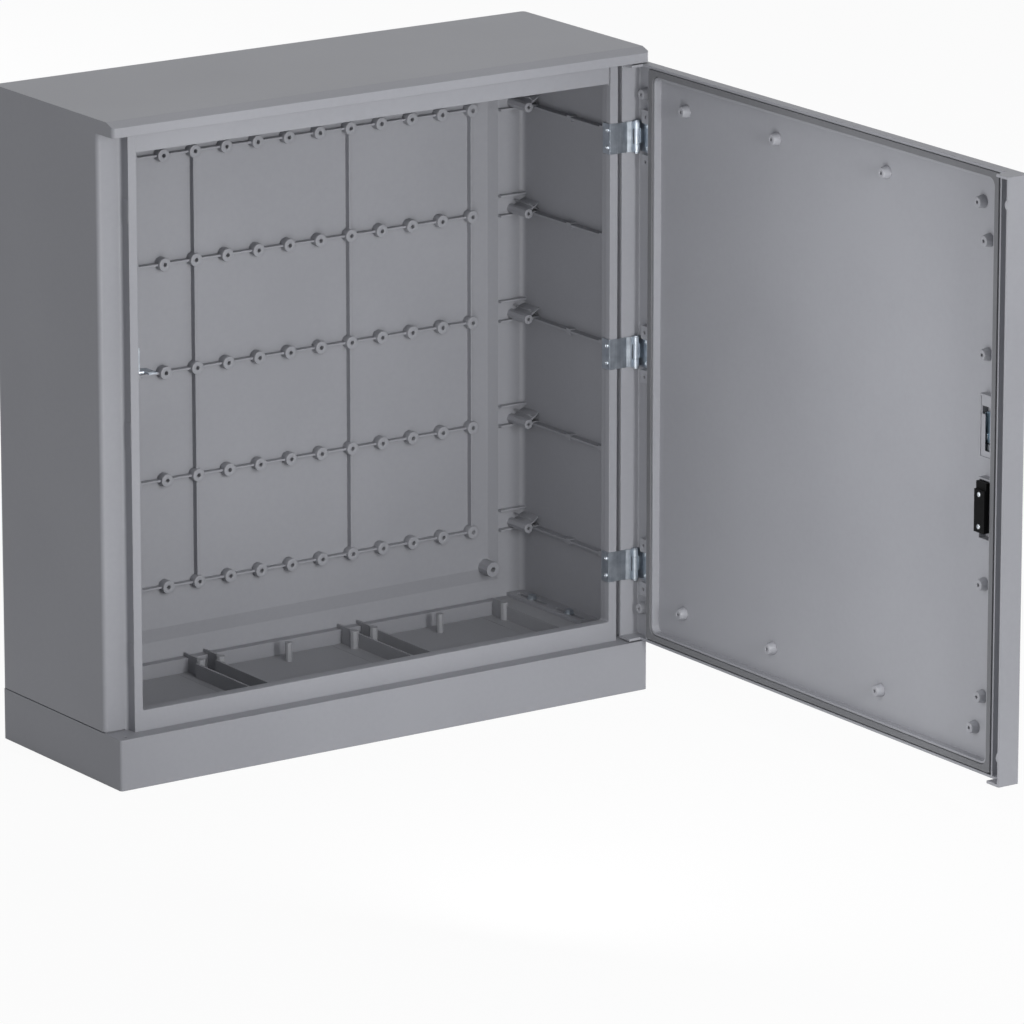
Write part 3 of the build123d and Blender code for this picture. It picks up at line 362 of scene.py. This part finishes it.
# Floor: three plates, two clamp strips and two end rails of the same compound,
# laid loose on the ledge of the plinth.
floor_compound = moulded("floor_compound", "#8e8f93", "#949599", rough=0.55, edge_mm=0.8)
for name in ("floor_plate_left", "floor_plate_middle", "floor_plate_right"):
    dress(name, floor_compound)
for name in ("clamp_strip_left", "clamp_strip_right", "end_rail_left", "end_rail_right"):
    dress(name, floor_compound)


# Hinge leaves, pins, strike plate and plinth bolts: bright zinc over steel. Rolling
# leaves fine upright lines, and the blue passivated zinc has a cold cast.
def plated(name, dark, pale, rough, line_mm):
    # Zinc plated steel: rolled lines drawn out along Z, soft clouds in the plating
    line_stretch, line_share, clouds_per_metre = 0.03, 0.6, 90.0
    line_strength, line_depth, edge = 0.15, 0.0001, 0.0004
    paint = new_paint(name)
    tree = paint.node_tree
    place = {"Vector": add_node(tree, "ShaderNodeTexCoord").outputs["Object"]}
    drawn = add_node(tree, "ShaderNodeMapping", {"Scale": (1.0, 1.0, line_stretch)}, place)
    lines = add_node(
        tree,
        "ShaderNodeTexNoise",
        {"Scale": noise_scale(line_mm), "Detail": 2.0},
        {"Vector": drawn.outputs[0]},
    )
    clouds = add_node(
        tree, "ShaderNodeTexNoise", {"Scale": clouds_per_metre, "Detail": 3.0}, place
    )
    total = add_node(
        tree,
        "ShaderNodeMath",
        {"operation": "MULTIPLY_ADD", 1: line_share},
        {0: lines.outputs[0], 2: clouds.outputs[0]},
    )
    tone = add_node(tree, "ShaderNodeValToRGB", {}, {"Fac": total.outputs[0]})
    for stop, position, colour in zip(tone.color_ramp.elements, (0.6, 1.0), (dark, pale)):
        stop.position, stop.color = position, linear(colour)
    gloss = add_node(
        tree,
        "ShaderNodeMapRange",
        {"To Min": rough - 0.05, "To Max": rough + 0.08},
        {"Value": clouds.outputs[0]},
    )
    finish_paint(tree, {"Metallic": 1.0}, tone, gloss, lines, edge, line_strength, line_depth)
    return paint


zinc = plated("zinc_plated_steel", "#a3aab3", "#bcc3ca", rough=0.36, line_mm=0.8)
blue_zinc = plated("blue_passivated_zinc", "#7f97a8", "#a3b7c4", rough=0.36, line_mm=0.8)
for height in ("bottom", "middle", "top"):
    dress("hinge_body_leaf_" + height, zinc)
    dress("hinge_door_leaf_" + height, zinc)
    dress("hinge_pin_" + height, zinc)
dress("strike_plate", zinc)
for name in ("plinth_bolts", "plinth_nuts", "plinth_washers"):
    dress(name, zinc)

# Screws: pan heads with a six-lobe socket, cold headed, thread-rolled and zinc
# plated. They stand for the plain screws of the solids, head on the same seat.
screw_zinc = plated("bright_zinc_screw", "#c3c9cf", "#dde1e5", rough=0.3, line_mm=0.6)
head_radius, head_height, crown_width = 0.00325, 0.0016, 0.0008
shank_radius, socket_radius, socket_depth, lobe_reach = 0.0018, 0.0014, 0.0009, 0.16


def pan_head_screw(shank):
    # Underside of the head at z = 0, head along +Z, shank along -Z
    select_none()
    bpy.ops.mesh.primitive_cylinder_add(
        vertices=24, radius=head_radius, depth=head_height, location=(0, 0, head_height / 2)
    )
    screw = bpy.context.object
    bpy.ops.object.transform_apply(location=True)
    near_axis, above_seat, near_top = 0.0005, 0.0005, head_height - 0.0001
    for up, inset, push in (
        (1, head_radius - socket_radius, -socket_depth),
        (-1, head_radius - shank_radius, -shank),
    ):
        inset_and_push(
            screw,
            lambda face: face.normal.z * up > 0.9 and abs(face.center.x) < near_axis,
            inset,
            push,
        )
    for vertex in screw.data.vertices:
        reach = math.hypot(vertex.co.x, vertex.co.y)
        if vertex.co.z > above_seat and reach < head_radius * 0.7:
            lobe = 1 + lobe_reach * math.cos(6 * math.atan2(vertex.co.y, vertex.co.x))
            vertex.co.x *= lobe
            vertex.co.y *= lobe
    rounding = screw.data.attributes.new("bevel_weight_edge", "FLOAT", "EDGE")
    for edge in screw.data.edges:
        ends = [screw.data.vertices[i].co for i in edge.vertices]
        on_rim = all(e.z > near_top and math.hypot(e.x, e.y) > head_radius * 0.9 for e in ends)
        rounding.data[edge.index].value = 1.0 if on_rim else 0.0
    apply_modifier(screw, "BEVEL", width=crown_width, segments=4, limit_method="WEIGHT")
    bpy.ops.object.shade_smooth_by_angle(angle=math.radians(35))
    return screw


def fixed_screws(name, node, shank, places, turn, body):
    # All screws of one node, joined, each on its own seat
    screws = copies(pan_head_screw(shank), name, places, turn)
    screws.data.materials.append(screw_zinc)
    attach(screws, body)
    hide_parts(node)


head_inwards = Matrix.Rotation(math.radians(-90), 4, "Y")
head_rightwards = Matrix.Rotation(math.radians(90), 4, "Y")
hinge_heights = (0.176, 0.476, 0.776)
reveal_x, reveal_screw_y, body_screw_rise = 0.3745, -0.12275, 0.012
door_screw_x, door_screw_y, door_screw_rise = 0.4240, -0.148, 0.015
strike_heights, cover_heights = (0.56853, 0.5852), (0.406, 0.449)
cover_x, cover_y = 0.4055, -0.9119
body_seats = [
    (reveal_x, reveal_screw_y, z + rise)
    for z in hinge_heights
    for rise in (-body_screw_rise, body_screw_rise)
]
door_seats = [
    (door_screw_x, door_screw_y, z + rise)
    for z in hinge_heights
    for rise in (-door_screw_rise, door_screw_rise)
]
strike_seats = [(-reveal_x, reveal_screw_y, z) for z in strike_heights]
cover_seats = [(cover_x, cover_y, z) for z in cover_heights]
for name, node, shank, seats, turn, body in (
    ("hinge_body_pan_heads", "hinge_body_screws", 0.009, body_seats, head_inwards, "cabinet"),
    ("hinge_door_pan_heads", "hinge_door_screws", 0.004, door_seats, head_inwards, "door"),
    ("strike_pan_heads", "strike_screws", 0.009, strike_seats, head_rightwards, "cabinet"),
    ("cover_pan_heads", "lock_cover_screws", 0.017, cover_seats, head_inwards, "door"),
):
    fixed_screws(name, node, shank, seats, turn, body)

# Door: one pressed moulding of the same compound, a shade paler than the body, with
# its flanges, ribs and lock recesses. It hangs on the three hinge pins.
door_compound = moulded("door_compound", "#919297", "#97989d", rough=0.5, edge_mm=1.0)
dress("door_shell", door_compound)
hinge_x, hinge_y = 0.416, -0.133


# Mouths of the door bosses: drafted sleeves moulded with the door, turned round here
# over the flats of the solids. Their places are given for the closed door.
def opened(x, y, z):
    # From the closed door to the door standing open at a right angle
    return (hinge_x - (y - hinge_y), hinge_y + (x - hinge_x), z)


rib_tip_y = -0.1315
edge_columns, edge_rows = (0.313, 0.108, -0.133, -0.337), (0.828, 0.128)
free_side_x, free_side_rows = -0.352, (0.173, 0.324, 0.630, 0.780)
hinge_side_x, hinge_side_rows = 0.405, (0.836, 0.115)
cone_radius, cone_foot, cone_hole, cone_length, cone_depth = 0.0069, 0.0091, 0.0024, 0.0108, 0.007
spots = [(x, z) for x in edge_columns for z in edge_rows]
spots += [(free_side_x, z) for z in free_side_rows]
spots += [(hinge_side_x, z) for z in hinge_side_rows]
door_boss_places = [
    (x - mouth_proud, y, z) for x, y, z in (opened(x, rib_tip_y, z) for x, z in spots)
]
towards_inside = Matrix.Rotation(math.radians(-90), 4, "Y")
cone = turned_sleeve("door_boss", cone_radius, cone_foot, cone_hole, cone_length, cone_depth)
door_bosses = copies(cone, "door_boss_mouths", door_boss_places, towards_inside)
door_bosses.data.materials.append(door_compound)
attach(door_bosses, "door")

# Gasket: foamed rubber pressed into the groove between the two ribs of the door, a
# dull grey with almost no sheen.
rubber = moulded("foamed_rubber", "#66676a", "#707174", rough=0.85, edge_mm=0.8, grain_mm=0.6)
dress("door_gasket", rubber)

# Lock: a zinc case in its pocket with the blue plated bolt and the crank's spindle,
# and a black polyamide cover, injection moulded and screwed over the pocket below.
# An index under the typical 1.53 keeps the black as deep as the photograph's.
black_polyamide = moulded(
    "black_polyamide", "#060607", "#0a0a0b", rough=0.5, edge_mm=0.5, ior=1.22
)
dress("lock_case", zinc)
dress("latch_bolt", blue_zinc)
dress("lock_spindle", zinc)
dress("lock_cover", black_polyamide)

# Plate over the lock recess: 1 mm of the door compound, pressed into the pocket
# walls, with a window for the bolt and a wider slot for the tongue of the strike.
plate_x, plate_side, plate_thickness, plate_edge = 0.4154, (-0.9215, -0.9010), 0.001, 0.0003
window_side, tongue_side = (-0.9195, -0.9095), (-0.9198, -0.9032)
plate_z, window_z, tongue_z = (0.497, 0.577), (0.505, 0.553), (0.553, 0.564)
select_none()
middle = (plate_x, sum(plate_side) / 2, sum(plate_z) / 2)
bpy.ops.mesh.primitive_plane_add(size=1, location=middle, rotation=(0, math.radians(-90), 0))
recess_plate = bpy.context.object
recess_plate.name = "lock_recess_plate"
recess_plate.scale = (plate_z[1] - plate_z[0], plate_side[1] - plate_side[0], 1)
bpy.ops.object.transform_apply(location=True, rotation=True, scale=True)
bpy.ops.object.mode_set(mode="EDIT")
across, upright = (0, 1, 0), (0, 0, 1)
for axis, cuts in ((across, window_side + tongue_side), (upright, window_z + tongue_z[1:])):
    for cut in cuts:
        bpy.ops.mesh.select_all(action="SELECT")
        bpy.ops.mesh.bisect(plane_co=[cut * a for a in axis], plane_no=axis)
bpy.ops.mesh.select_mode(type="FACE")
bpy.ops.mesh.select_all(action="DESELECT")
bpy.ops.object.mode_set(mode="OBJECT")
for face in recess_plate.data.polygons:
    y, z = face.center.y, face.center.z
    in_window = window_side[0] < y < window_side[1] and window_z[0] < z < window_z[1]
    in_slot = tongue_side[0] < y < tongue_side[1] and tongue_z[0] < z < tongue_z[1]
    face.select = in_window or in_slot
bpy.ops.object.mode_set(mode="EDIT")
bpy.ops.mesh.delete(type="FACE")
bpy.ops.mesh.select_all(action="SELECT")
bpy.ops.mesh.dissolve_limited(angle_limit=math.radians(2))
bpy.ops.object.mode_set(mode="OBJECT")
apply_modifier(recess_plate, "SOLIDIFY", thickness=plate_thickness, offset=-1)
apply_modifier(recess_plate, "BEVEL", width=plate_edge, segments=2)
recess_plate.data.materials.append(door_compound)
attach(recess_plate, "door")

# Outside handle: a swivel lever on its base plate, both injection moulded in the
# same black polyamide. The lever turns with the spindle through the door skin.
dress("handle_base", black_polyamide)
dress("handle_lever", black_polyamide)
